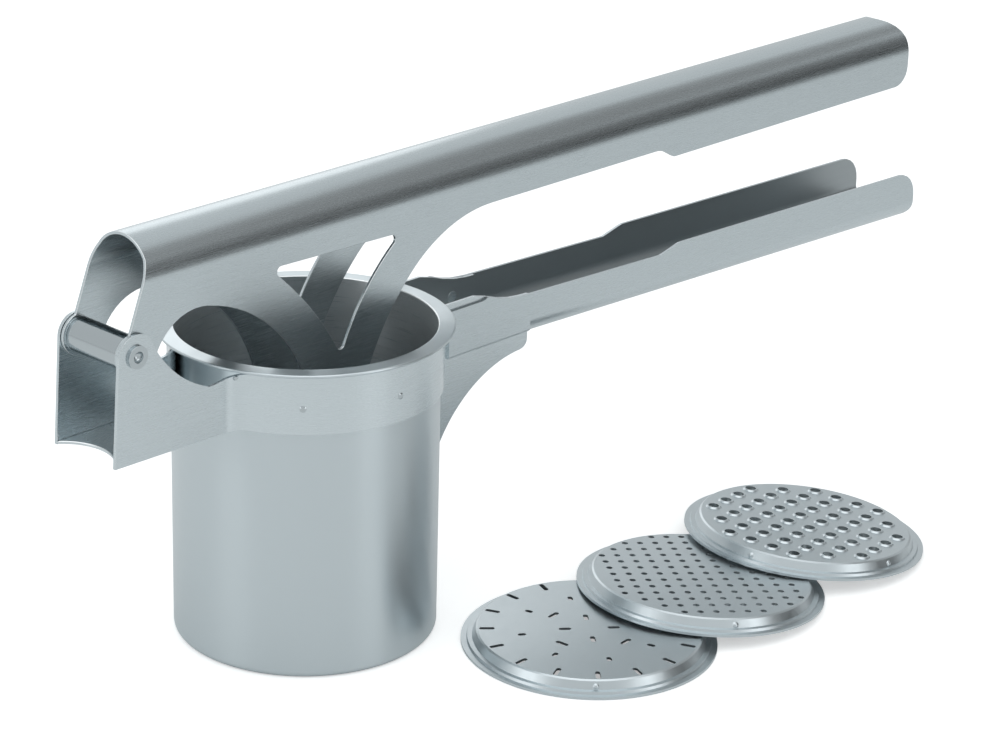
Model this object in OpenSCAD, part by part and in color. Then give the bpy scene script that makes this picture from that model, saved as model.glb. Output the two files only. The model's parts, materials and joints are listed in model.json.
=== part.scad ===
// Spaetzle maker: a sheet steel lever press over a deep cup, with three sieves beside it.
// The origin is on the cup's axis at its foot, +Z up, the handles run along +X.

/* [Cup] */
// Outer radius of the cup
cup_r = 40; // [38:0.5:44]
// Height of the cup from foot to rim
cup_h = 97.4; // [92:0.2:106]
// Thickness of the cup wall
cup_wall = 1; // [0.6:0.1:1.4]
// Radius of the bend between wall and ledge
foot_round = 2; // [1.5:0.1:3]
// Thickness of the ledge that a sieve lies on
ledge_t = 1; // [0.8:0.1:1.4]
// Reach of the rim outside the wall
rim_reach = 4.2; // [3:0.1:5]
// Thickness of the rim
rim_t = 1; // [0.8:0.1:1.8]
// Fall of the rim towards its edge
rim_fall = 0.1; // [0.1:0.1:0.9]

/* [Sieves] */
// Play between a sieve's flange and the cup wall
sieve_play = 0.1; // [0.08:0.02:0.4]
// Width of a sieve's flange
sieve_flange_w = 3.6; // [3.2:0.05:5]
// Sheet thickness of a sieve
sieve_t = 0.8; // [0.5:0.1:1]
// Height of a sieve's raised middle
sieve_h = 4.2; // [3.6:0.1:7]
// Inward lean of the raised wall
sieve_lean = 1.2; // [0.8:0.1:3]
// Radius of the fine sieve's holes
fine_hole_r = 1; // [0.7:0.05:1.4]
// Spacing of the fine holes
fine_pitch = 5; // [4:0.1:8]
// Radius of the coarse sieve's holes
coarse_hole_r = 1.75; // [1.2:0.05:2]
// Spacing of the coarse holes
coarse_pitch = 7.9; // [7:0.1:10]
// Height of the burr round a coarse hole
coarse_burr = 0.5; // [0.2:0.1:0.8]
// Width of a slot
slot_w = 1.5; // [1:0.1:2]
// Length of the outer slots
slot_len = 4.7; // [3:0.1:5.5]
// Distance of the slotted sieve from the cup's axis, along the handles
sieves_x = 51.7; // [50:0.5:80]
// Distance of the sieves from the cup's axis, to the front
sieves_y = 70.1; // [66:0.5:110]
// Step from the slotted sieve to the fine one
fine_step = 49.1; // [46:0.1:60]
// Step from the fine sieve to the coarse one
coarse_step = 53.8; // [46:0.1:60]

/* [Frame] */
// Sheet thickness of the two side plates
frame_t = 1; // [0.8:0.1:1.2]
// Height of the band round the cup
band_h = 17.3; // [12:0.1:20]
// Gap between the band and the rim above it
band_gap = 1; // [0.3:0.1:1.6]
// Fit of the band on the cup
band_fit = 0.05; // [0.02:0.01:0.1]
// Radius of the bends beside the cup
side_bend = 8; // [6:0.5:10]
// Radius of an ear round the hinge
ear_r = 6.5; // [6:0.1:8]
// Flare of an ear towards its foot
ear_flare = 2; // [0:0.5:4]
// Depth of the hollow in the web's front edge
web_hollow = 6; // [3:0.5:9]
// Length of the web between the ears
web_len = 36; // [24:1:38]
// Radius of the scallop between ear and rim
scallop_r = 37.5; // [36:0.5:39]
// Reach of the tail beyond the cup wall
tail_len = 43.5; // [40:0.5:44]
// Radius of the gusset's hollow edge
gusset_r = 43.9; // [42:0.1:46]

/* [Hinge] */
// Distance of the hinge from the cup wall
hinge_reach = 36; // [34:0.5:42]
// Height of the hinge above the rim
hinge_up = 12.4; // [11:0.1:15]
// Radius of the rivet
rivet_r = 2.5; // [2:0.1:3]
// Radius of the rivet's heads
rivet_head_r = 3.4; // [3.2:0.1:5]
// Height of the rivet's heads
rivet_head_t = 0.8; // [0.5:0.1:1.5]
// Outer radius of the spacer tube
tube_r = 5.15; // [4.2:0.05:6]
// Running clearance of a pin in its hole
pin_play = 0.05; // [0.03:0.01:0.08]
// Gap between the lever and the ears
side_play = 0.2; // [0.15:0.05:0.4]

/* [Lever] */
// Outer half width of the lever
lever_half = 11.9; // [11:0.1:13]
// Sheet thickness of the lever
lever_t = 0.9; // [0.8:0.1:1.2]
// Height of the lever's back above the hinge
lever_back = 31.2; // [28:0.2:34]
// Reach of the lever beyond the cup wall
lever_len = 237.3; // [200:0.5:260]
// Depth of the lever along the shank
shank_h = 19; // [16:0.1:20]
// Depth of the lever along the grip
grip_h = 22.6; // [20:0.1:26]
// Distance from the cup wall to the step before the grip
grip_start = 111.6; // [90:0.5:130]
// Radius of the lever's eye round the hinge
eye_r = 6.2; // [5:0.1:6.4]
// Radius of the arch over the cup
arch_r = 51.3; // [50:0.1:52]
// Radius of the arch beside the hinge
heel_r = 17; // [15:0.5:18]
// Radius of the hollow in front of the blade
throat_r = 49.1; // [47:0.1:51]

/* [Press] */
// Distance of the press pin from the cup's axis
pin_x = 4; // [2:0.5:5]
// Height of the press pin above the foot
pin_z = 50; // [46:0.5:54]
// Radius of the press pin
press_pin_r = 2.5; // [2:0.1:3]
// Gap round the pressure plate inside the cup
press_play = 3.4; // [2.8:0.1:4.4]
// Offset of the pressure plate towards the hinge
press_shift = 2; // [1.5:0.1:2.5]
// Thickness of the pressure plate
press_t = 5; // [3:0.1:6]
// Rest height of the plate above the ledge
press_lift = 0.3; // [0.2:0.1:0.6]
// Sheet thickness of the bracket
bracket_t = 1.2; // [1:0.1:1.2]
// Length of the bracket's foot
bracket_len = 40; // [30:1:44]

/* [Handle] */
// Sheet thickness of the handle
handle_t = 0.9; // [0.8:0.1:1.2]
// Reach of the handle beyond the cup wall
handle_len = 244.9; // [210:0.1:260]
// Depth of the handle from rim height to its floor, near the cup
handle_drop = 23.1; // [22:0.1:26]
// Fall of the handle towards its end, in degrees
handle_fall = 1.8; // [1:0.1:2.2]
// Radius along the handle's lower edges
handle_round = 6; // [4:0.5:8]

/* [Hidden] */
$fn = 96;
eps = 0.02;        // overlap of shapes that join inside one piece
far = 400;         // longer than anything here

bore_r = cup_r - cup_wall;
rim_edge = rim_t / 2;                              // radius of the rim's edge
rim_under = cup_h - rim_fall - rim_t;              // lowest height of the rim
band_top = rim_under - band_gap;
band_low = band_top - band_h;
band_in = cup_r + band_fit;
band_mid = band_in + frame_t / 2;
web_z = band_low + 0.5;                            // the ears' lower edge rises a little outwards

lever_in = lever_half - lever_t;
ear_in = lever_half + side_play;
ear_out = ear_in + frame_t;
handle_half = ear_out;                             // the handle is flush with the ears
tail_out = handle_half - handle_t;                 // the tails lie inside its walls
tail_in = tail_out - frame_t;
ear_y = ear_out - frame_t / 2 + side_bend;         // centre of the bend between band and ear
ear_x = sqrt((band_mid + side_bend)^2 - ear_y^2);

hinge_x = -(cup_r + hinge_reach);
hinge_z = cup_h + hinge_up;
hinge = [hinge_x, hinge_z];
back_z = hinge_z + lever_back;
shank_z = back_z - shank_h;
grip_z = back_z - grip_h;

scallop = hinge + [39.3, 19.2];                    // centre of the scallop
gusset = [cup_r + 42.7, cup_h - 70.6];             // centre of the gusset's hollow edge
gusset_tip = cup_h - 52.4;                         // height of the gusset's lower tip
tail_end = cup_r + tail_len;
tail_start = cup_r + 1.5;                          // foot of the gusset beside the cup
handle_end = cup_r + handle_len;
handle_start = cup_r + 7.4;                        // the walls begin beside the rim
floor_start = tail_end + 1.25;                      // the floor begins past the tails
wall_low = cup_h - 21.4;                           // lower edge of the walls beside the tails
lever_end = cup_r + lever_len;
grip_x = cup_r + grip_start;

press_pin = [pin_x, pin_z];
plate_r = bore_r - press_play;
plate_x = -press_shift;
plate_z = ledge_t + press_lift;
plate_top = plate_z + press_t;
bracket_gap = 0.3;                                 // between bracket and lever blades
bracket_out = lever_in - bracket_gap;
bracket_in = bracket_out - bracket_t;
bracket_eye = press_pin_r + 4;
blade_r = press_pin_r + 6;

sieve_r = bore_r - sieve_play;
sieve_root = sieve_r - sieve_flange_w;             // radius where the raised wall starts
sieve_top = sieve_root - sieve_lean;
ledge_r = sieve_root + 0.2;                        // opening under the cup
bead_r = [sieve_root, sieve_root + 1.9];           // raised ring on the flange
bead_h = 2 * sieve_t;
hole_margin = 1.3;                                 // between the fine holes' centres and the edge
lean_gap = 0.3;                                    // between sieves that lean on each other

// A sieve lies slanted with its flange on the ground and on the edge of the next one's raised
// top. The two edges cross twice: at the crossing its flange has to clear the top below it.
fine_side = -2.7;                                  // sideways shift from the slotted sieve
fine_turn = atan2(-fine_side, -fine_step);         // direction in which the fine sieve rises
fine_dist = norm([fine_step, fine_side]);
fine_cross = (fine_dist^2 + sieve_root^2 - sieve_top^2) / (2 * fine_dist);
fine_tilt = asin((sieve_h + lean_gap) / (sieve_r + fine_cross));

coarse_side = 1.5;                                 // sideways shift from the fine sieve
coarse_skew = 16;                                  // it rests on one crossing more than the other
coarse_turn = atan2(-coarse_side, -coarse_step) - coarse_skew;
coarse_dist = norm([coarse_step, coarse_side]);
coarse_cross = (coarse_dist^2 + sieve_root^2 - sieve_top^2) / (2 * coarse_dist);
coarse_low = sieve_root * cos(acos(coarse_cross / sieve_root) + coarse_skew);
coarse_seat = sieve_h * cos(fine_tilt)
            + (sieve_r - coarse_dist + coarse_cross) * sin(fine_tilt);
coarse_tilt = asin((coarse_seat + lean_gap) / (sieve_r + coarse_low));

// ---- outlines ----

// Points along an arc round c
function arc(c, r, from, to, steps = 12) =
    [for (i = [0:steps]) c + r * [cos(from + (to - from) * i / steps),
                                  sin(from + (to - from) * i / steps)]];

// Points that round the corner b between a and c
function rounded(a, b, c, r, steps = 6) =
    let (u = (a - b) / norm(a - b),
         v = (c - b) / norm(c - b),
         half = acos(u * v) / 2,
         centre = b + (u + v) / norm(u + v) * r / sin(half),
         p = b + u * r / tan(half) - centre,
         q = b + v * r / tan(half) - centre,
         from = atan2(p.y, p.x),
         turn = atan2(q.y, q.x) - from,
         short = turn > 180 ? turn - 360 : turn < -180 ? turn + 360 : turn)
    arc(centre, r, from, from + short, steps);

// Extrudes an (x, z) outline from y0 to y1
module across(y0, y1) {
    translate([0, y1, 0])
        rotate([90, 0, 0])
            linear_extrude(y1 - y0)
                children();
}

// Extrudes a (y, z) outline from x0 to x1
module along(x0, x1) {
    translate([x0, 0, 0])
        rotate([90, 0, 90])
            linear_extrude(x1 - x0)
                children();
}

// A ring from radius r0 to r1, between two angles less than 180 degrees apart
module ring_part(r0, r1, from, to) {
    reach = 4 * r1;
    middle = (from + to) / 2;
    intersection() {
        difference() {
            circle(r1);
            circle(r0);
        }
        polygon([[0, 0], reach * [cos(from), sin(from)], reach * [cos(middle), sin(middle)],
                 reach * [cos(to), sin(to)]]);
    }
}

// A round bar along Y at an (x, z) place, from -half to half
module bar_y(place, r, half) {
    translate([place.x, half, place.y])
        rotate([90, 0, 0])
            cylinder(r = r, h = 2 * half);
}

module mirror_far() {
    mirror([0, 1, 0])
        children();
}

// ---- cup ----

// One drawn sheet: ledge, round foot, straight wall, and a rim with a rounded lip
module cup() {
    lip = [cup_r + rim_reach - rim_edge, cup_h - rim_fall - rim_edge];
    color("gainsboro")
    rotate_extrude()
        polygon(concat(
            [[ledge_r, 0]],
            arc([cup_r - foot_round, foot_round], foot_round, -90, 0, 8),
            [[cup_r, rim_under]],
            arc(lip, rim_edge, -90, 89, 10),
            [[bore_r + 0.4, cup_h], [bore_r + 0.12, cup_h - 0.12], [bore_r, cup_h - 0.4],
             [bore_r, ledge_t], [ledge_r, ledge_t]]));
}

// ---- frame ----

// Plan of a near plate's sheet: ear, bend, band round the cup, bend, tail
module plate_plan() {
    tail_y = tail_out - frame_t / 2 + side_bend;
    tail_x = sqrt((band_mid + side_bend)^2 - tail_y^2);
    ear_angle = atan2(ear_y, ear_x);
    tail_angle = atan2(tail_y, tail_x);
    translate([-far, -ear_out])
        square([far - ear_x + eps, frame_t]);
    translate([-ear_x, -ear_y])
        ring_part(side_bend - frame_t / 2, side_bend + frame_t / 2, ear_angle - 0.1, 90);
    ring_part(band_in, band_in + frame_t, 180 + ear_angle, 360 - tail_angle);
    translate([tail_x, -tail_y])
        ring_part(side_bend - frame_t / 2, side_bend + frame_t / 2, 90, 180.1 - tail_angle);
    translate([tail_x - eps, -tail_out])
        square([tail_end - tail_x + 10, frame_t]);
}

// Side view of a plate: the ear, the band, and the tail with its gusset
module plate_outline() {
    scallop_x = scallop.x - sqrt(scallop_r^2 - (scallop.y - band_top)^2);
    dip = 1.5;                                     // depth of the scallop below the band's edge
    handle_x = cup_r + 10;
    difference() {
        union() {
            translate(hinge)
                circle(ear_r);
            polygon(concat(
                [[hinge_x - ear_r, hinge_z], [hinge_x - ear_r - ear_flare, web_z],
                 [-band_in, band_low], [tail_start, band_low], [tail_start, gusset_tip],
                 [tail_end - 3, gusset_tip]],
                rounded([tail_end - 6, gusset.y + gusset_r], [tail_end, gusset.y + gusset_r],
                        [tail_end, band_top], 3),
                [[tail_end, cup_h - 8.9], [tail_end - 4, cup_h - 8.7], [tail_end - 9, cup_h - 8.1],
                 [tail_end - 14, cup_h - 6.9], [tail_end - 19, cup_h - 5.2],
                 [handle_x + 9, cup_h - 3.8], [cup_r + 6, cup_h - 3.7], [cup_r + 3, band_top],
                 [scallop_x, band_top], [scallop_x, hinge_z + ear_r / 2],
                 [hinge_x + ear_r * cos(30), hinge_z + ear_r / 2]]));
        }
        intersection() {
            translate(scallop)
                circle(scallop_r);
            polygon([[hinge_x, far], [hinge_x, band_top - dip], [-cup_r - 8.6, band_top - dip],
                     [-cup_r - 6.4, band_top - 0.85 * dip], [-cup_r - 1.5, band_top - 0.4 * dip],
                     [-cup_r + 1.5, band_top - 0.1 * dip], [-cup_r + 3, band_top], [far, far]]);
        }
        translate(gusset)
            circle(gusset_r);
        translate(hinge)
            circle(rivet_r + pin_play);
    }
}

module frame_plate_near() {
    color("lightsteelblue")
    intersection() {
        linear_extrude(cup_h + far)
            plate_plan();
        across(-far, 0)
            plate_outline();
    }
}

module frame_plate_far() {
    mirror_far()
        frame_plate_near();
}

// Floor between the ears, hollowed at the front
module ear_web() {
    front = hinge_x - ear_r - ear_flare;
    hollow_r = (ear_in^2 + web_hollow^2) / (2 * web_hollow);
    color("slategray")
    difference() {
        translate([front, -ear_in, web_z])
            cube([web_len, 2 * ear_in, frame_t]);
        translate([front + web_hollow - hollow_r, 0, web_z - 1])
            cylinder(r = hollow_r, h = frame_t + 2);
    }
}

// Spot welds: two on the band's middle and one on its upper corner, where the bend starts
module band_welds_near() {
    weld_r = 1;
    proud = 0.25;
    middle = band_low + band_h * 0.46;
    color("whitesmoke")
    union() {
        for (turn = [-134.6, -92.1])
            rotate([0, 0, turn])
                translate([band_in + frame_t, 0, middle])
                    rotate([0, 90, 0])
                        cylinder(r1 = weld_r, r2 = weld_r * 0.6, h = proud);
        translate([-ear_x, -ear_y, band_top - weld_r])
            rotate([0, 0, 63.4])
                translate([side_bend - frame_t / 2 - 0.05, 0, 0])
                    rotate([0, -90, 0])
                        cylinder(r1 = weld_r * 0.8, r2 = weld_r * 0.5, h = 2 * proud);
    }
}

module band_welds_far() {
    mirror_far()
        band_welds_near();
}

// Spot welds of a tail to the handle's wall, seen inside the handle
module tail_welds_near() {
    weld_r = 2;
    proud = 0.15;
    color("whitesmoke")
    for (x = [handle_start + 8, tail_end - 10])
        translate([x, -tail_in + proud, cup_h - 14])
            rotate([90, 0, 0])
                cylinder(r = weld_r, h = proud);
}

module tail_welds_far() {
    mirror_far()
        tail_welds_near();
}

// ---- handle ----

// Section of the handle: a channel, open at the top, whose floor is at z = 0
module channel_section(half, round_r, floor_z) {
    translate([-half + round_r, floor_z])
        square([2 * (half - round_r), far]);
    translate([-half, floor_z + round_r])
        square([2 * half, far]);
    for (side = [-1, 1])
        translate([side * (half - round_r), floor_z + round_r])
            circle(round_r);
}

// The far wall beside the tail, its lower edge rounded on the outside
module tail_wall() {
    difference() {
        translate([handle_start, tail_out, wall_low])
            cube([floor_start - 1 - handle_start, handle_t, far]);
        along(handle_start - 1, floor_start)
            difference() {
                translate([tail_out, wall_low - 1])
                    square(handle_t + 1);
                translate([tail_out, wall_low + handle_t])
                    circle(handle_t);
            }
    }
}

module handle_outline() {
    top = cup_h - 8.7;                             // height of the walls past the tails
    grip_top = top - 0.2;
    end = [handle_end, cup_h - 28.6];
    polygon(concat(
        [[handle_start, 0], [handle_start, cup_h - 5.9], [tail_end - 21.5, cup_h - 5.9],
         [tail_end - 18.5, cup_h - 5.3], [tail_end - 14, cup_h - 6.9],
         [tail_end - 9, cup_h - 8.1], [tail_end - 3, top]],
        rounded([tail_end, top], [grip_x - 5.6, top - 2.4], [grip_x + 3.7, top - 0.1], 8),
        rounded([grip_x - 5.6, top - 2.4], [grip_x + 3.7, top - 0.1], [handle_end, top - 3.7], 8),
        rounded([grip_x, grip_top], [handle_end, top - 3.7], end, 9),
        rounded([handle_end, top], [handle_end, cup_h - 29.9], [handle_end - 30, cup_h - 29.9], 5),
        [[handle_end - 12, 0]]));
}

module handle_channel() {
    color("silver")
    intersection() {
        union() {
            intersection() {
                translate([floor_start, 0, cup_h - handle_drop])
                    rotate([0, handle_fall, 0])
                        along(-4, handle_end)
                            difference() {
                                channel_section(handle_half, handle_round, 0);
                                channel_section(handle_half - handle_t, handle_round - handle_t,
                                                handle_t);
                            }
                translate([floor_start - 1, -far / 2, 0])
                    cube(far);
            }
            for (side = [0, 1])
                mirror([0, side, 0])
                    tail_wall();
        }
        across(-handle_half - 1, handle_half + 1)
            handle_outline();
    }
}

// ---- hinge ----

module hinge_rivet() {
    dimple_r = rivet_r * 0.68;
    color("gray")
    difference() {
        union() {
            bar_y(hinge, rivet_r, ear_out + rivet_head_t);
            for (side = [-1, 1])
                translate([hinge_x, side * (ear_out + rivet_head_t / 2), hinge_z])
                    rotate([90, 0, 0])
                        cylinder(r = rivet_head_r, h = rivet_head_t, center = true);
        }
        for (side = [-1, 1])
            translate([hinge_x, side * (ear_out + rivet_head_t), hinge_z])
                sphere(r = dimple_r);
    }
}

module hinge_tube() {
    tube_half = lever_in - 0.1;
    color("dimgray")
    difference() {
        bar_y(hinge, tube_r, tube_half);
        bar_y(hinge, rivet_r + pin_play, tube_half + 1);
    }
}

// ---- lever ----

// Section of the lever: a half round back on straight walls, open below
module lever_section() {
    spring = back_z - lever_half;                  // height where the round back starts
    difference() {
        union() {
            translate([0, spring])
                circle(lever_half);
            translate([-lever_half, 0])
                square([2 * lever_half, spring]);
        }
        translate([0, spring])
            circle(lever_in);
        translate([-lever_in, -1])
            square([2 * lever_in, spring + 1]);
    }
}

// The window between the two legs of a blade, rounded at its corners
module blade_window() {
    corner_r = 1.6;
    left = [hinge_x - 23.9, hinge_z - 78.8];
    right = [hinge_x + 146.5, hinge_z - 46.8];
    offset(r = corner_r, $fn = 24)
        offset(delta = -corner_r)
            difference() {
                polygon([[-30, shank_z - 34], [30, shank_z - 34], [30, shank_z - 0.6],
                         [-30, shank_z + 0.8]]);
                translate(left)
                    circle(118.1, $fn = 240);
                translate(right)
                    circle(72.4, $fn = 180);
            }
}

module lever_outline() {
    arch = hinge + [16.4, -42.4];                  // centre of the arch over the cup
    meet = 78;                                     // direction where the two arches meet
    heel = arch + (arch_r - heel_r) * [cos(meet), sin(meet)];
    meet_x = arch.x + arch_r * cos(meet);
    throat = [-hinge_x - 9.7, shank_z - throat_r];
    throat_turn = 134.6;                           // direction where the throat meets the blade
    blade_edge_r = 79;                             // radius of the blade's front edge
    blade_edge = throat - (blade_edge_r - throat_r) * [cos(throat_turn), sin(throat_turn)];
    blade_foot = 180 - acos((blade_edge.x - pin_x - blade_r) / blade_edge_r);
    top = back_z + 1;
    difference() {
        union() {
            translate(hinge)
                circle(eye_r);
            translate(press_pin)
                circle(blade_r);
            polygon(concat(
                [[hinge_x + 6.6, top], [hinge_x + 6.2, back_z - 5.4],
                 [hinge_x - 3.7, hinge_z], [hinge_x, hinge_z - eye_r],
                 [meet_x, hinge_z - eye_r], [meet_x, arch.y],
                 [arch.x + arch_r, arch.y],
                 [pin_x - blade_r, pin_z], [pin_x + blade_r, pin_z]],
                arc(blade_edge, blade_edge_r, blade_foot, throat_turn, 12),
                arc(throat, throat_r, throat_turn - 3, 90, 16),
                rounded([throat.x, shank_z], [grip_x - 6.5, shank_z], [grip_x, grip_z], 9),
                rounded([grip_x - 6.5, shank_z], [grip_x, grip_z], [lever_end, grip_z], 3),
                rounded([grip_x, grip_z], [lever_end, grip_z], [lever_end, top], 6.5),
                rounded([lever_end, grip_z], [lever_end, back_z], [grip_x, back_z], 8),
                [[lever_end - 20, top]]));
        }
        intersection() {
            translate(arch)
                circle(arch_r);
            translate([meet_x, 0])
                square(far);
        }
        translate(heel)
            circle(heel_r);
        blade_window();
        translate(hinge)
            circle(rivet_r + pin_play);
        translate(press_pin)
            circle(press_pin_r + pin_play);
    }
}

module lever_shell() {
    color("gainsboro")
    intersection() {
        along(hinge_x - far, far)
            lever_section();
        across(-lever_half - 1, lever_half + 1)
            lever_outline();
    }
}

// ---- press ----

module press_pin() {
    head_r = press_pin_r + 1.5;
    head_t = 0.8;
    color("gray")
    union() {
        bar_y(press_pin, press_pin_r, lever_half + head_t);
        for (side = [-1, 1])
            translate([pin_x, side * (lever_half + head_t / 2), pin_z])
                rotate([90, 0, 0])
                    cylinder(r = head_r, h = head_t, center = true);
    }
}

// Spacer on the pin between the bracket's arms
module press_pin_tube() {
    tube_half = bracket_in - 0.1;
    color("dimgray")
    difference() {
        bar_y(press_pin, press_pin_r + 1.8, tube_half);
        bar_y(press_pin, press_pin_r + pin_play, tube_half + 1);
    }
}

// Bent strip that hangs the pressure plate from the pin
module press_bracket() {
    foot_x = [plate_x + 2 - bracket_len / 2, plate_x + 2 + bracket_len / 2];
    color("slategray")
    difference() {
        intersection() {
            difference() {
                translate([-far, -bracket_out, plate_top])
                    cube([2 * far, 2 * bracket_out, far]);
                translate([-far, -bracket_in, plate_top + bracket_t])
                    cube([2 * far, 2 * bracket_in, far]);
            }
            across(-far, far)
                union() {
                    translate(press_pin)
                        circle(bracket_eye);
                    polygon([[foot_x[0], plate_top], [foot_x[1], plate_top],
                             [foot_x[1], plate_top + 6], [pin_x + bracket_eye, pin_z],
                             [pin_x - bracket_eye, pin_z], [foot_x[0], plate_top + 6]]);
                }
        }
        bar_y(press_pin, press_pin_r + pin_play, far);
    }
}

// Round pressure plate with a soft lower edge
module press_plate() {
    edge = 1.2;
    color("silver")
    translate([plate_x, 0, plate_z])
        rotate_extrude() {
            square([plate_r - edge, press_t]);
            translate([0, edge])
                square([plate_r, press_t - edge]);
            translate([plate_r - edge, edge])
                circle(edge);
        }
}

// Spot welds of the bracket's foot on the pressure plate
module bracket_welds() {
    weld_r = 2;
    proud = 0.15;
    color("whitesmoke")
    for (side = [-1, 1])
        translate([plate_x + 2 + side * bracket_len / 3, 0, plate_top + bracket_t])
            cylinder(r = weld_r, h = proud);
}

// ---- sieves ----

// Section of a sieve's drawn sheet: flange with a raised ring, leaning wall, flat middle
module sieve_section() {
    polygon([[0, sieve_h - sieve_t], [sieve_top - sieve_t / 2, sieve_h - sieve_t],
             [sieve_root - sieve_t, sieve_t], [sieve_root - sieve_t, 0],
             [sieve_r, 0], [sieve_r, sieve_t], [bead_r[1], sieve_t], [bead_r[1] - 0.3, bead_h],
             [bead_r[0] + 0.2, bead_h], [sieve_top + 0.3, sieve_h - 0.35],
             [sieve_top - 0.3, sieve_h], [0, sieve_h]]);
}

// A sieve blank with a small locating pimple on its wall
module sieve_blank(pimples) {
    rotate_extrude()
        sieve_section();
    for (turn = pimples)
        rotate([0, 0, turn])
            translate([sieve_root - 1, 0, sieve_h / 2])
                sphere(r = 1.3, $fn = 24);
}

// A slot along X with round ends, cut through the sieve's top
module slot(len) {
    translate([0, 0, sieve_h - 2 * sieve_t])
        linear_extrude(3 * sieve_t)
            union() {
                square([len - slot_w, slot_w], center = true);
                for (side = [-1, 1])
                    translate([side * (len - slot_w) / 2, 0])
                        circle(slot_w / 2, $fn = 24);
            }
}

// Slots on a ring, along its radius or turned from it
module slot_ring(r, count, first, len, turn = 0) {
    for (i = [0:count - 1])
        rotate([0, 0, first + 360 / count * i])
            translate([r, 0, 0])
                rotate([0, 0, turn])
                    slot(len);
}

module sieve_slotted() {
    outer_r = sieve_top - 0.7 - slot_len / 2;
    color("darkgray")
    translate([sieves_x, -sieves_y, 0])
        difference() {
            sieve_blank([225]);
            slot_ring(outer_r, 16, 1.5, slot_len);
            slot_ring(outer_r * 0.68, 8, 13, slot_len * 0.55);
            slot_ring(outer_r * 0.44, 4, 5, slot_len * 0.95, 90);
            slot_ring(outer_r * 0.24, 4, 50, slot_len * 0.8);
        }
}

// Puts a sieve with its lowest edge on the ground, rising in the direction turn
module leaning(place, turn, tilt) {
    translate([place.x, place.y, sieve_r * sin(tilt)])
        rotate([0, 0, turn])
            rotate([0, -tilt, 0])
                rotate([0, 0, -turn])
                    children();
}

// Places of a square grid of holes inside a field; start is one hole's place in grid steps
function grid_places(pitch, field, start) =
    let (n = ceil(field / pitch))
    [for (j = [-n:n], i = [-n:n])
        let (p = pitch * (start + [i, j]))
        if (norm(p) <= field) p];

module sieve_fine() {
    places = grid_places(fine_pitch, sieve_top - hole_margin, [0.36, 0.75]);
    color("darkgray")
    leaning([sieves_x + fine_step, fine_side - sieves_y], fine_turn, fine_tilt)
        difference() {
            sieve_blank([237]);
            rotate([0, 0, -35])
                for (p = places)
                    translate([p.x, -p.y, sieve_h - 2 * sieve_t])
                        cylinder(r = fine_hole_r, h = 3 * sieve_t, $fn = 24);
        }
}

module sieve_coarse() {
    places = grid_places(coarse_pitch, sieve_top - coarse_hole_r - 0.5, [0.5, 0.5]);
    color("darkgray")
    leaning([sieves_x + fine_step + coarse_step, fine_side + coarse_side - sieves_y],
            coarse_turn, coarse_tilt)
        difference() {
            union() {
                sieve_blank([189, 268]);
                rotate([0, 0, 8])
                    for (p = places)
                        translate([p.x, p.y, sieve_h - eps])
                            cylinder(r1 = coarse_hole_r + 0.9, r2 = coarse_hole_r + 0.4,
                                     h = coarse_burr, $fn = 32);
            }
            rotate([0, 0, 8])
                for (p = places)
                    translate([p.x, p.y, sieve_h - 2 * sieve_t])
                        cylinder(r = coarse_hole_r, h = 3 * sieve_t + coarse_burr, $fn = 32);
        }
}

cup();
frame_plate_near();
frame_plate_far();
ear_web();
handle_channel();
band_welds_near();
band_welds_far();
tail_welds_near();
tail_welds_far();
hinge_rivet();
hinge_tube();
lever_shell();
press_pin();
press_pin_tube();
press_bracket();
press_plate();
bracket_welds();
sieve_slotted();
sieve_fine();
sieve_coarse();
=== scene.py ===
import json
import math

import bmesh
import bpy
from mathutils import Matrix, Vector


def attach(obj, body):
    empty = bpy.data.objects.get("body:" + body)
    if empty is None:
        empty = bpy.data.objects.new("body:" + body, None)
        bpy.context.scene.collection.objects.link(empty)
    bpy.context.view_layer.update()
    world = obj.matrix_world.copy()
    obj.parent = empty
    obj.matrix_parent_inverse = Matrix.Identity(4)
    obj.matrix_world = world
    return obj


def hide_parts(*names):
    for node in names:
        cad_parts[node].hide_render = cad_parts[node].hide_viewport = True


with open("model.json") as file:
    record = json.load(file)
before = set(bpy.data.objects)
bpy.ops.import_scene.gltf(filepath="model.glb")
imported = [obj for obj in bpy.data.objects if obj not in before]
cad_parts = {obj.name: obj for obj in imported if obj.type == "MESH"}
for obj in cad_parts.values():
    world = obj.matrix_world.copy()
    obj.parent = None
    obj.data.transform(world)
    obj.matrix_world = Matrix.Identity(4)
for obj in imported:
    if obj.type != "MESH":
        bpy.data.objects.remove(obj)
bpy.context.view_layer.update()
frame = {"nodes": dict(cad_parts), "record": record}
scene = bpy.context.scene
print("frame loaded:", len(frame["nodes"]), "nodes")


# streaks are the noise's steps per metre along x, y and z
cupFinish = {
    "colour": (0.60, 0.66, 0.685),
    "roughness": 0.32,
    "streaks": (90.0, 90.0, 9000.0),
    "streakDepth": 0.04,
    "bump": 0.012,
    "grain": "around",
    "anisotropy": 0.75,
}
# band colour a little lighter than the cup's: painted light to set the band off from the cup; its
# lower roughness is its own smoother finish
bandFinish = {
    "colour": (0.64, 0.70, 0.725),
    "roughness": 0.26,
    "streaks": (110.0, 110.0, 9000.0),
    "streakDepth": 0.035,
    "bump": 0.012,
    "grain": "around",
    "anisotropy": 0.7,
}
leverFinish = {
    "colour": (0.60, 0.66, 0.685),
    "roughness": 0.26,
    "streaks": (90.0, 9000.0, 9000.0),
    "streakDepth": 0.04,
    "bump": 0.012,
    "grain": "along",
    "anisotropy": 0.7,
}
edgeHighlightFinish = {                         # cut edges painted lighter than the steel: a painted highlight along every bevelled edge
    "colour": (0.86, 0.89, 0.90),
    "roughness": 0.30,
    "streaks": (900.0, 900.0, 900.0),
    "streakDepth": 0.02,
    "bump": 0.01,
    "grain": "none",
    "anisotropy": 0.0,
}
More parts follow.
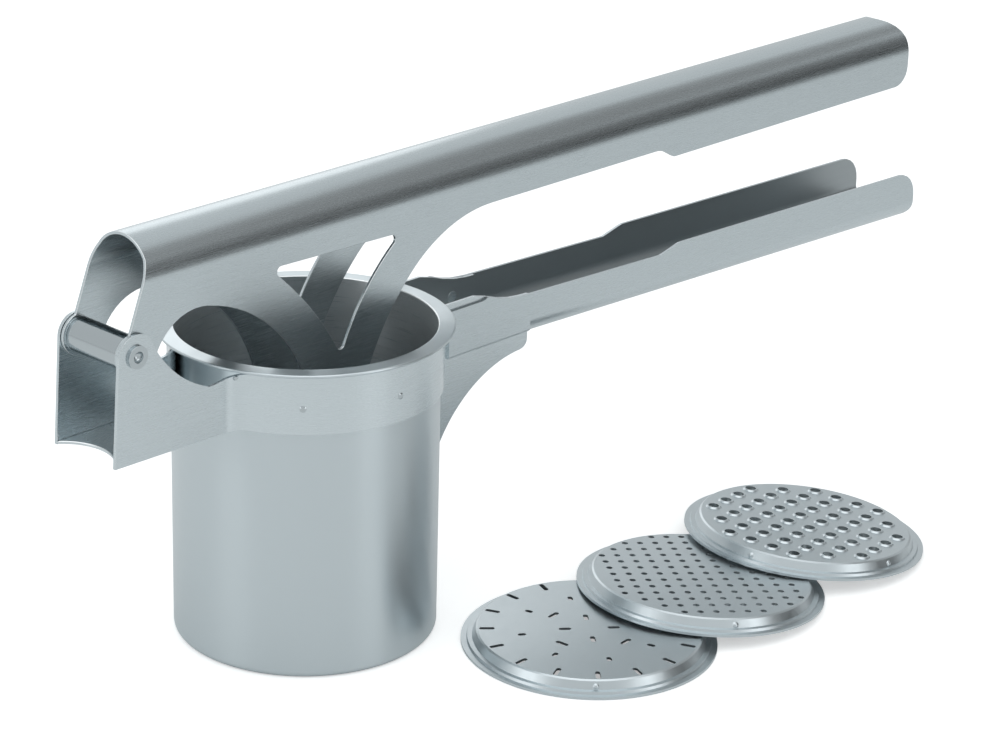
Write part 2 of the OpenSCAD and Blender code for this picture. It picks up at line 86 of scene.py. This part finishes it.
cupInsidePaintedLightFinish = {                    # the cup's bore, painted lighter than the outside steel: painted light standing in for the light that bounces round inside the cup
    "colour": (0.78, 0.82, 0.835),
    "roughness": 0.31,
    "streaks": (60.0, 60.0, 5000.0),
    "streakDepth": 0.05,
    "bump": 0.02,
    "grain": "around",
    "anisotropy": 0.8,
}
insideShadeFinish = {                       # the lower handle's and the frame tails' inner faces, painted darker: painted shade in the hollow under the lever; the higher roughness is their own duller finish
    "colour": (0.40, 0.435, 0.45),
    "roughness": 0.38,
    "streaks": (50.0, 6000.0, 6000.0),
    "streakDepth": 0.05,
    "bump": 0.02,
    "grain": "none",
    "anisotropy": 0.0,
}
sieveFinish = {
    "colour": (0.58, 0.635, 0.66),
    "roughness": 0.34,
    "streaks": (400.0, 400.0, 400.0),
    "streakDepth": 0.03,
    "bump": 0.02,
    "grain": "none",
    "anisotropy": 0.0,
}
# pin steel is darker than the rest: painted shade standing in for the dark reflections on the
# hinge tube; its low roughness is the pins' own polish
pinFinish = {
    "colour": (0.50, 0.545, 0.565),
    "roughness": 0.13,
    "streaks": (900.0, 60.0, 900.0),
    "streakDepth": 0.03,
    "bump": 0.02,
    "grain": "none",
    "anisotropy": 0.0,
}


def addNode(tree, kind, **values):
    node = tree.nodes.new(kind)
    for name, value in values.items():
        setattr(node, name, value)
    return node


def steelMaterial(name, finish):
    steel = bpy.data.materials.new(name)
    steel.use_nodes = True
    tree = steel.node_tree
    link = tree.links.new
    shader = tree.nodes["Principled BSDF"]
    shader.inputs["Base Color"].default_value = (*finish["colour"], 1.0)
    shader.inputs["Metallic"].default_value = 1.0
    shader.inputs["Roughness"].default_value = finish["roughness"]
    place = addNode(tree, "ShaderNodeTexCoord")
    scale = addNode(tree, "ShaderNodeMapping")
    scale.inputs["Scale"].default_value = finish["streaks"]
    noise = addNode(tree, "ShaderNodeTexNoise")
    noise.inputs["Scale"].default_value = 1.0
    noise.inputs["Detail"].default_value = 3.0
    link(place.outputs["Object"], scale.inputs["Vector"])
    link(scale.outputs["Vector"], noise.inputs["Vector"])
    spread = addNode(tree, "ShaderNodeMapRange")
    spread.inputs["From Min"].default_value = 0.3
    spread.inputs["From Max"].default_value = 0.7
    spread.inputs["To Min"].default_value = finish["roughness"] - finish["streakDepth"]
    spread.inputs["To Max"].default_value = finish["roughness"] + finish["streakDepth"]
    link(noise.outputs["Fac"], spread.inputs["Value"])
    link(spread.outputs["Result"], shader.inputs["Roughness"])
    bump = addNode(tree, "ShaderNodeBump")
    bump.inputs["Strength"].default_value = finish["bump"]
    bump.inputs["Distance"].default_value = 0.0002
    link(noise.outputs["Fac"], bump.inputs["Height"])
    link(bump.outputs["Normal"], shader.inputs["Normal"])
    if finish["grain"] != "none":
        shader.inputs["Anisotropic"].default_value = finish["anisotropy"]
        shape = addNode(tree, "ShaderNodeNewGeometry")
        stretch = addNode(tree, "ShaderNodeVectorMath", operation="CROSS_PRODUCT")
        link(shape.outputs["Normal"], stretch.inputs[1])
        stretch.inputs[0].default_value = (1.0, 0.0, 0.0)   # highlights run across the brushing
        if finish["grain"] == "around":
            level = addNode(tree, "ShaderNodeVectorMath", operation="CROSS_PRODUCT")
            level.inputs[0].default_value = (0.0, 0.0, 1.0)
            link(shape.outputs["Normal"], level.inputs[1])
            link(level.outputs["Vector"], stretch.inputs[0])
        link(stretch.outputs["Vector"], shader.inputs["Tangent"])
    return steel


cupSteel = steelMaterial("cupSteel", cupFinish)
bandSteel = steelMaterial("bandSteel", bandFinish)
leverSteel = steelMaterial("leverSteel", leverFinish)
sieveSteel = steelMaterial("sieveSteel", sieveFinish)
pinSteel = steelMaterial("pinSteel", pinFinish)
insideShadeSteel = steelMaterial("insideShadeSteel", insideShadeFinish)
cupInsidePaintedLightSteel = steelMaterial("cupInsidePaintedLightSteel", cupInsidePaintedLightFinish)
edgeHighlightSteel = steelMaterial("edgeHighlightSteel", edgeHighlightFinish)
print("finishes made")


# edge is the cut edges' rounding in metres, crease the angle in degrees that counts as an edge
pieceLooks = {
    "cup": {"steel": cupSteel, "edge": 0.00012, "crease": 32, "inside": cupInsidePaintedLightSteel},
    "frame_plate_near": {"steel": bandSteel, "edge": 0.00026, "crease": 32,
                         "inside": insideShadeSteel},
    "frame_plate_far": {"steel": bandSteel, "edge": 0.00026, "crease": 32,
                         "inside": insideShadeSteel},
    "ear_web": {"steel": bandSteel, "edge": 0.00026, "crease": 32},
    "handle_channel": {"steel": leverSteel, "edge": 0.00026, "crease": 32,
                       "inside": insideShadeSteel},
    "band_welds_near": {"steel": pinSteel, "edge": 0.00008, "crease": 32},
    "band_welds_far": {"steel": pinSteel, "edge": 0.00008, "crease": 32},
    "tail_welds_near": {"steel": bandSteel, "edge": 0.00005, "crease": 32},
    "tail_welds_far": {"steel": bandSteel, "edge": 0.00005, "crease": 32},
    "hinge_rivet": {"steel": pinSteel, "edge": 0.0002, "crease": 32},
    "hinge_tube": {"steel": pinSteel, "edge": 0.0002, "crease": 32},
    "lever_shell": {"steel": leverSteel, "edge": 0.00026, "crease": 32},
    "press_pin": {"steel": pinSteel, "edge": 0.0002, "crease": 32},
    "press_pin_tube": {"steel": pinSteel, "edge": 0.0002, "crease": 32},
    "press_bracket": {"steel": bandSteel, "edge": 0.00026, "crease": 32},
    "press_plate": {"steel": sieveSteel, "edge": 0.0002, "crease": 32},
    "bracket_welds": {"steel": pinSteel, "edge": 0.00005, "crease": 32},
    "sieve_slotted": {"steel": sieveSteel, "edge": 0.00012, "crease": 24},
    "sieve_fine": {"steel": sieveSteel, "edge": 0.00012, "crease": 24},
    "sieve_coarse": {"steel": sieveSteel, "edge": 0.00010, "crease": 24},
}


insideLimits = {                       # metres
    "boreReach": 0.0395,               # from the cup's axis
    "boreFacing": 0.001,
    "tailStart": 0.044,                # where the frame plates leave the cup
    "tailFacing": 0.005,
    "wallFacing": 0.0005,
    "floorHalf": 0.011,                # of the lower handle
    "floorUp": 0.9,                    # least upward part of a floor's normal
}


# faces picked here take the piece's inside steel: painted shade on the lower handle's and frame
# tails' inner faces, painted light in the cup's bore
def facesInward(nodeName, face):
    limits = insideLimits
    away = face.center.copy()
    away.z = 0.0
    if nodeName == "cup":
        return away.length < limits["boreReach"] and face.normal.dot(away) < -limits["boreFacing"]
    if nodeName.startswith("frame_plate"):
        inward = -face.normal.y * face.center.y
        return face.center.x > limits["tailStart"] and inward > limits["tailFacing"]
    away.x = 0.0                       # the handle's hollow lies round the x axis
    isFloor = face.normal.z > limits["floorUp"] and away.length < limits["floorHalf"]
    return face.normal.dot(away) < -limits["wallFacing"] or isFloor


meshCare = {
    "joinDistance": 2e-6,
    "flatAngle": 0.4,                  # degrees, below which neighbouring faces are one
    "edgeSegments": 2,
}


def dressPiece(nodeName, looks):
    source = frame["nodes"][nodeName]
    mesh = source.data.copy()
    mesh.name = nodeName + "_look"
    build = bmesh.new()
    build.from_mesh(mesh)
    bmesh.ops.remove_doubles(build, verts=build.verts, dist=meshCare["joinDistance"])
    bmesh.ops.dissolve_limit(build, angle_limit=math.radians(meshCare["flatAngle"]),
                             verts=build.verts, edges=build.edges)
    for face in build.faces:
        face.smooth = True
    build.to_mesh(mesh)
    build.free()
    for name in [a.name for a in mesh.attributes if a.name == "custom_normal"]:
        mesh.attributes.remove(mesh.attributes[name])
    mesh.set_sharp_from_angle(angle=math.radians(looks["crease"]))
    mesh.materials.clear()
    mesh.materials.append(looks["steel"])
    # inner faces get the painted shade or painted light steel
    if "inside" in looks:
        mesh.materials.append(looks["inside"])
        for face in mesh.polygons:
            face.material_index = int(facesInward(nodeName, face))
    # the bevels take the light edge steel, a painted highlight on each edge
    mesh.materials.append(edgeHighlightSteel)
    piece = bpy.data.objects.new(nodeName + "_look", mesh)
    scene.collection.objects.link(piece)
    soften = piece.modifiers.new("soft edges", "BEVEL")
    soften.width = looks["edge"]
    soften.segments = meshCare["edgeSegments"]
    soften.limit_method = "ANGLE"
    soften.angle_limit = math.radians(looks["crease"])
    soften.material = len(mesh.materials) - 1
    flatten = piece.modifiers.new("flat faces", "WEIGHTED_NORMAL")
    flatten.keep_sharp = True
    return piece


bodyOf = {node: body for body, nodes in frame["record"]["behaviour"]["bodies"].items()
          for node in nodes}
for nodeName, looks in pieceLooks.items():
    piece = dressPiece(nodeName, looks)
    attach(piece, bodyOf[nodeName])
    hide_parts(nodeName)
print("pieces dressed:", len(pieceLooks))


stageSet = {
    "floorSize": 6.0,
    "floorColour": (0.82, 0.83, 0.83),
    "floorLift": 0.45,         # makes the floor white for the camera alone
    "roomLight": 0.62,         # what the room gives to the pieces and the floor
    "roomTint": (0.97, 1.0, 1.01),
    "mirroredRoom": 0.70,      # how bright the room is in the steel
}


world = bpy.data.worlds.new("paleRoom")
scene.world = world
world.use_nodes = True
room = world.node_tree
room.nodes.clear()
rayKind = addNode(room, "ShaderNodeLightPath")


def roomLevel(strength, tint):
    level = addNode(room, "ShaderNodeBackground")
    level.inputs["Color"].default_value = (*tint, 1.0)
    level.inputs["Strength"].default_value = strength
    return level.outputs["Background"]


def chooseLevel(ray, other, seen):
    choice = addNode(room, "ShaderNodeMixShader")
    room.links.new(rayKind.outputs[ray], choice.inputs["Fac"])
    room.links.new(other, choice.inputs[1])
    room.links.new(seen, choice.inputs[2])
    return choice.outputs["Shader"]


roomShade = chooseLevel("Is Glossy Ray", roomLevel(stageSet["roomLight"], stageSet["roomTint"]),
                        roomLevel(stageSet["mirroredRoom"], stageSet["roomTint"]))
roomShade = chooseLevel("Is Camera Ray", roomShade, roomLevel(1.0, (1.0, 1.0, 1.0)))
roomOut = addNode(room, "ShaderNodeOutputWorld")
room.links.new(roomShade, roomOut.inputs["Surface"])

floorSteps = bpy.data.meshes.new("floor")
half = stageSet["floorSize"] / 2
floorSteps.from_pydata([(-half, -half, 0), (half, -half, 0), (half, half, 0), (-half, half, 0)],
                       [], [(0, 1, 2, 3)])
floor = bpy.data.objects.new("floor", floorSteps)
floor.location = (0.0, 0.0, -0.0001)
scene.collection.objects.link(floor)
floorPaint = bpy.data.materials.new("floorPaint")
floorPaint.use_nodes = True
floorTree = floorPaint.node_tree
floorTree.nodes.clear()
floorDull = addNode(floorTree, "ShaderNodeBsdfDiffuse")
floorDull.inputs["Color"].default_value = (*stageSet["floorColour"], 1.0)
floorOut = addNode(floorTree, "ShaderNodeOutputMaterial")
floorLift = addNode(floorTree, "ShaderNodeEmission")
floorLift.inputs["Color"].default_value = (1.0, 1.0, 1.0, 1.0)
floorLevel = addNode(floorTree, "ShaderNodeMath", operation="MULTIPLY")
floorLevel.inputs[1].default_value = stageSet["floorLift"]
floorAdd = addNode(floorTree, "ShaderNodeAddShader")
floorEye = addNode(floorTree, "ShaderNodeLightPath")
floorTree.links.new(floorEye.outputs["Is Camera Ray"], floorLevel.inputs[0])
floorTree.links.new(floorLevel.outputs["Value"], floorLift.inputs["Strength"])
floorTree.links.new(floorDull.outputs["BSDF"], floorAdd.inputs[0])
floorTree.links.new(floorLift.outputs["Emission"], floorAdd.inputs[1])
floorTree.links.new(floorAdd.outputs["Shader"], floorOut.inputs["Surface"])
floorSteps.materials.append(floorPaint)


def aimAt(thing, place, target):
    thing.location = place
    thing.rotation_euler = (Vector(target) - Vector(place)).to_track_quat("-Z", "Y").to_euler()


lampSet = {
    "overhead": {"place": (-0.3, -0.2, 1.6), "target": (0.1, 0.0, 0.0), "size": (2.2, 1.8),
                 "watts": 10.0},
    "left": {"place": (-1.45, 0.4, 0.5), "target": (0.0, 0.0, 0.08), "size": (0.7, 0.9),
             "watts": 2.2},
    "front": {"place": (0.3, -1.4, 0.4), "target": (0.0, 0.0, 0.05), "size": (0.55, 0.9),
              "watts": 1.7},
    "farBack": {"place": (0.7, 1.6, 0.8), "target": (0.05, 0.0, 0.08), "size": (1.6, 1.0),
                "watts": 3.5},
}
for name, setting in lampSet.items():
    lamp = bpy.data.lights.new(name, "AREA")
    lamp.shape = "RECTANGLE"
    lamp.size, lamp.size_y = setting["size"]
    lamp.energy = setting["watts"]
    lampObject = bpy.data.objects.new(name, lamp)
    scene.collection.objects.link(lampObject)
    aimAt(lampObject, setting["place"], setting["target"])

# cards outside the picture that only the steel mirrors; level 1 is as bright as white paper
cardSet = {
    "darkCard": {"place": (0.95, -0.92, 0.16), "target": (0.1, 0.0, 0.1), "size": (0.95, 0.40),
                 "level": 0.03},
    "dimCard": {"place": (0.92, -0.84, 0.50), "target": (0.1, 0.0, 0.1), "size": (0.95, 0.36),
                "level": 0.15},
    "midCard": {"place": (0.95, -0.45, 0.95), "target": (0.1, 0.0, 0.1), "size": (1.1, 0.55),
                "level": 0.30},
    "sideCard": {"place": (1.35, -0.1, 0.1), "target": (0.0, 0.0, 0.06), "size": (0.7, 0.2),
                 "level": 0.08},
}
for name, setting in cardSet.items():
    width, height = setting["size"]
    cardMesh = bpy.data.meshes.new(name)
    cardMesh.from_pydata([(-width / 2, -height / 2, 0), (width / 2, -height / 2, 0),
                          (width / 2, height / 2, 0), (-width / 2, height / 2, 0)],
                         [], [(0, 1, 2, 3)])
    card = bpy.data.objects.new(name, cardMesh)
    scene.collection.objects.link(card)
    aimAt(card, setting["place"], setting["target"])
    cardPaint = bpy.data.materials.new(name + "Paint")
    cardPaint.use_nodes = True
    cardTree = cardPaint.node_tree
    cardTree.nodes.clear()
    cardGlow = addNode(cardTree, "ShaderNodeEmission")
    cardGlow.inputs["Strength"].default_value = setting["level"]
    cardOut = addNode(cardTree, "ShaderNodeOutputMaterial")
    cardTree.links.new(cardGlow.outputs["Emission"], cardOut.inputs["Surface"])
    cardMesh.materials.append(cardPaint)
    card.visible_camera = False
    card.visible_shadow = False
    card.visible_diffuse = False
print("stage set")


cameraSet = {
    "azimuth": -47.25,
    "elevation": 21.54,
    "roll": 1.56,
    "place": (-0.59210, -0.62558, 0.42109),
    "focalPixels": 3120.0,
    "pictureWidth": 1000.0,
    "sensorWidth": 36.0,
}
azimuth = math.radians(cameraSet["azimuth"])
elevation = math.radians(cameraSet["elevation"])
roll = math.radians(cameraSet["roll"])
back = Vector((math.sin(azimuth) * math.cos(elevation), -math.cos(azimuth) * math.cos(elevation),
               math.sin(elevation)))
level = Vector((math.cos(azimuth), math.sin(azimuth), 0.0))
upright = back.cross(level)
right = level * math.cos(roll) + upright * math.sin(roll)
upward = upright * math.cos(roll) - level * math.sin(roll)
cameraData = bpy.data.cameras.new("camera")
cameraData.sensor_width = cameraSet["sensorWidth"]
cameraData.lens = cameraSet["focalPixels"] * cameraSet["sensorWidth"] / cameraSet["pictureWidth"]
cameraData.clip_start = 0.01
camera = bpy.data.objects.new("camera", cameraData)
turned = Matrix((right, upward, back)).transposed().to_4x4()
camera.matrix_world = Matrix.Translation(cameraSet["place"]) @ turned
scene.collection.objects.link(camera)
scene.camera = camera

scene.view_settings.view_transform = "Standard"
scene.cycles.use_denoising = True
print("camera placed")
